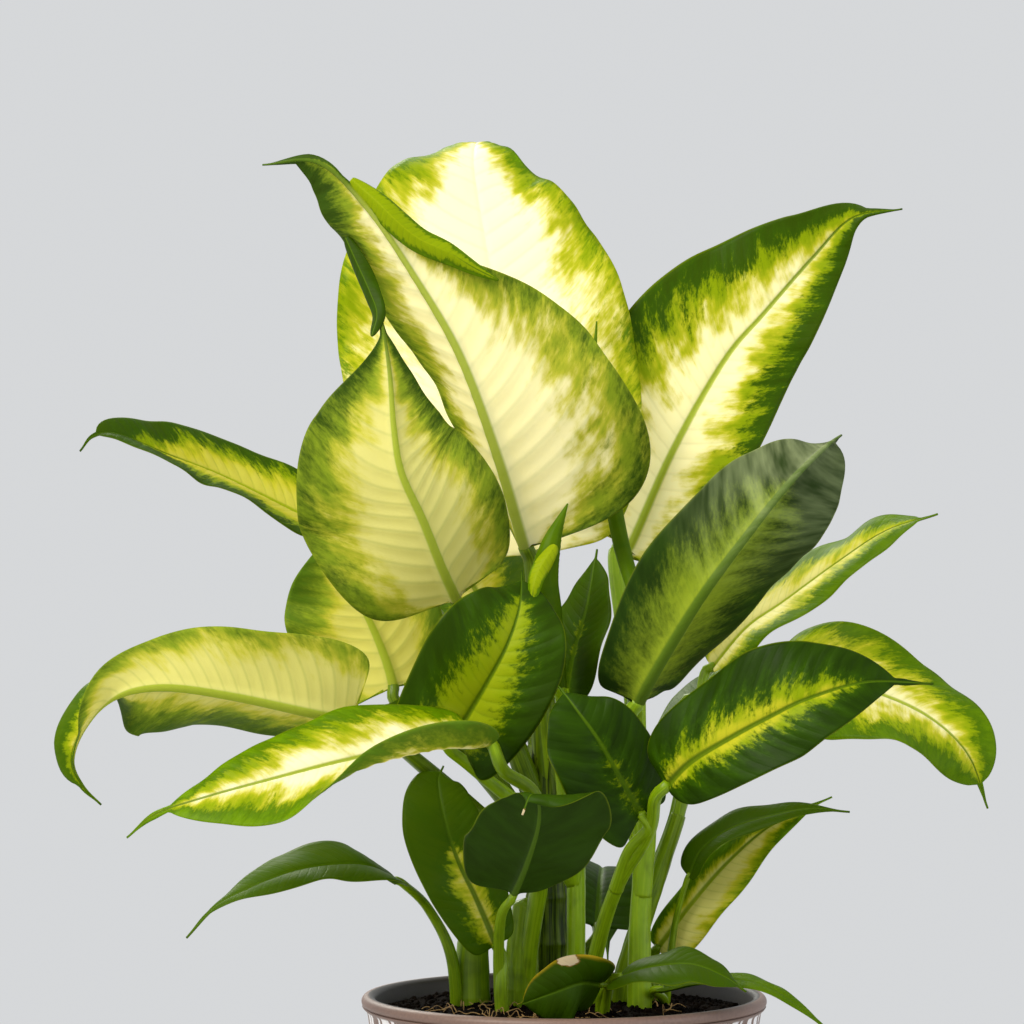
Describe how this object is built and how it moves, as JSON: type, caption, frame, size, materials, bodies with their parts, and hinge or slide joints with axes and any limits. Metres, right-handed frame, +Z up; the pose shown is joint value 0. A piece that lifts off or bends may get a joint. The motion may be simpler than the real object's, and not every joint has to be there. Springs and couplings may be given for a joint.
{
  "type": "potted dieffenbachia",
  "caption": "Variegated foliage plant with broad cream and green leaves on fleshy stalks, standing in a round glazed pot of soil",
  "frame": {"origin": "middle of the pot's flat foot", "axes": "+Z up along the plant, +X to the right and +Y away from the front"},
  "size_m": [0.3639, 0.3061, 0.4987],
  "materials": {
    "glaze": "satin",
    "soil": "matte",
    "stalk": "satin",
    "leaf_pale": "satin",
    "leaf_mixed": "satin",
    "leaf_dark": "satin"
  },
  "bodies": {
    "root": {"pot": "glaze", "soil": "soil", "cane_main": "stalk", "cane_centre": "stalk", "cane_left": "stalk", "cane_low_left": "stalk", "cane_right": "stalk", "cane_far_right": "stalk", "stalks_front": "stalk", "stalks_front_left": "stalk", "stalks_rim": "stalk", "stalks_low_right": "stalk", "leaf_back_tall": "leaf_pale", "leaf_front_tall": "leaf_pale", "leaf_left_heart": "leaf_pale", "leaf_left_high": "leaf_mixed", "leaf_left_middle": "leaf_pale", "leaf_left_inner": "leaf_pale", "leaf_left_low": "leaf_pale", "leaf_left_drooping": "leaf_dark", "leaf_centre_broad": "leaf_mixed", "leaf_right_tall": "leaf_pale", "leaf_right_broad": "leaf_mixed", "leaf_right_slim": "leaf_pale", "leaf_right_front": "leaf_mixed", "leaf_right_far": "leaf_pale", "leaf_front_dark": "leaf_dark", "leaf_front_cupped": "leaf_dark", "leaf_lower_left": "leaf_mixed", "leaf_rim_torn": "leaf_dark", "leaf_rim_right": "leaf_dark", "leaf_rim_hanging": "leaf_dark", "leaf_right_small_dark": "leaf_dark", "leaf_right_small_pale": "leaf_pale", "leaf_inner_upright": "leaf_dark", "leaf_inner_hidden": "leaf_dark", "leaf_rear_left": "leaf_mixed", "leaf_rear_right": "leaf_mixed", "leaf_rear_low": "leaf_dark", "leaf_centre_young": "leaf_dark", "leaf_spear": "leaf_dark"}
  },
  "joints": []
}
